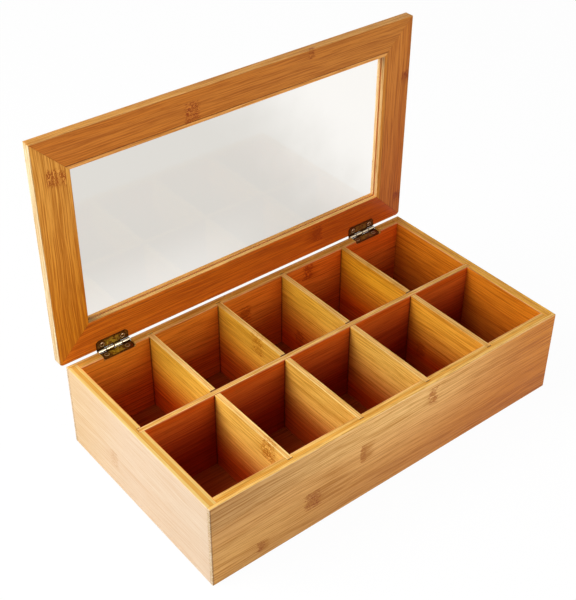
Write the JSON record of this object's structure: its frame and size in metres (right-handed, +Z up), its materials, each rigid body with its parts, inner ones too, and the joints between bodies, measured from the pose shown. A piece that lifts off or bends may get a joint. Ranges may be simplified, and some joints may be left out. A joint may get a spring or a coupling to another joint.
{
  "type": "tea bag organizer box",
  "caption": "Bamboo box divided into equal open compartments, with a hinged lid of mitred bamboo around a clear window.",
  "frame": {"origin": "centre of the box's underside, without the lid", "axes": "+X to the right along the hinge side, +Y from the front towards the hinges, +Z up from the table"},
  "size_m": [0.367, 0.2088, 0.279],
  "materials": {
    "wall_bamboo": "satin clear lacquer",
    "divider_bamboo": "satin clear lacquer",
    "base_bamboo": "satin clear lacquer",
    "lid_bamboo": "satin clear lacquer",
    "window": "clear, polished",
    "hinge_leaves": "antiqued",
    "hinge_pins": "antiqued",
    "hinge_screws": "antiqued"
  },
  "bodies": {
    "box": {"base_panel": "base_bamboo", "front_wall": "wall_bamboo", "back_wall": "wall_bamboo", "left_wall": "wall_bamboo", "right_wall": "wall_bamboo", "long_divider": "divider_bamboo", "cross_divider_1": "divider_bamboo", "cross_divider_2": "divider_bamboo", "cross_divider_3": "divider_bamboo", "cross_divider_4": "divider_bamboo", "hinge_left_box_leaf": "hinge_leaves", "hinge_left_pin": "hinge_pins", "hinge_left_box_screws": "hinge_screws", "hinge_right_box_leaf": "hinge_leaves", "hinge_right_pin": "hinge_pins", "hinge_right_box_screws": "hinge_screws"},
    "lid": {"lid_front_rail": "lid_bamboo", "lid_back_rail": "lid_bamboo", "lid_left_stile": "lid_bamboo", "lid_right_stile": "lid_bamboo", "window_pane": "window", "window_bead_front": "lid_bamboo", "window_bead_back": "lid_bamboo", "window_bead_left": "lid_bamboo", "window_bead_right": "lid_bamboo", "hinge_left_lid_leaf": "hinge_leaves", "hinge_left_lid_screws": "hinge_screws", "hinge_right_lid_leaf": "hinge_leaves", "hinge_right_lid_screws": "hinge_screws"}
  },
  "joints": [
    {"name": "lid_hinge", "type": "hinge", "parent": "box", "child": "lid", "pos_m": [0, 0.099, 0.078], "axis": [1, 0, 0], "range_deg": [0, 90]}
  ]
}
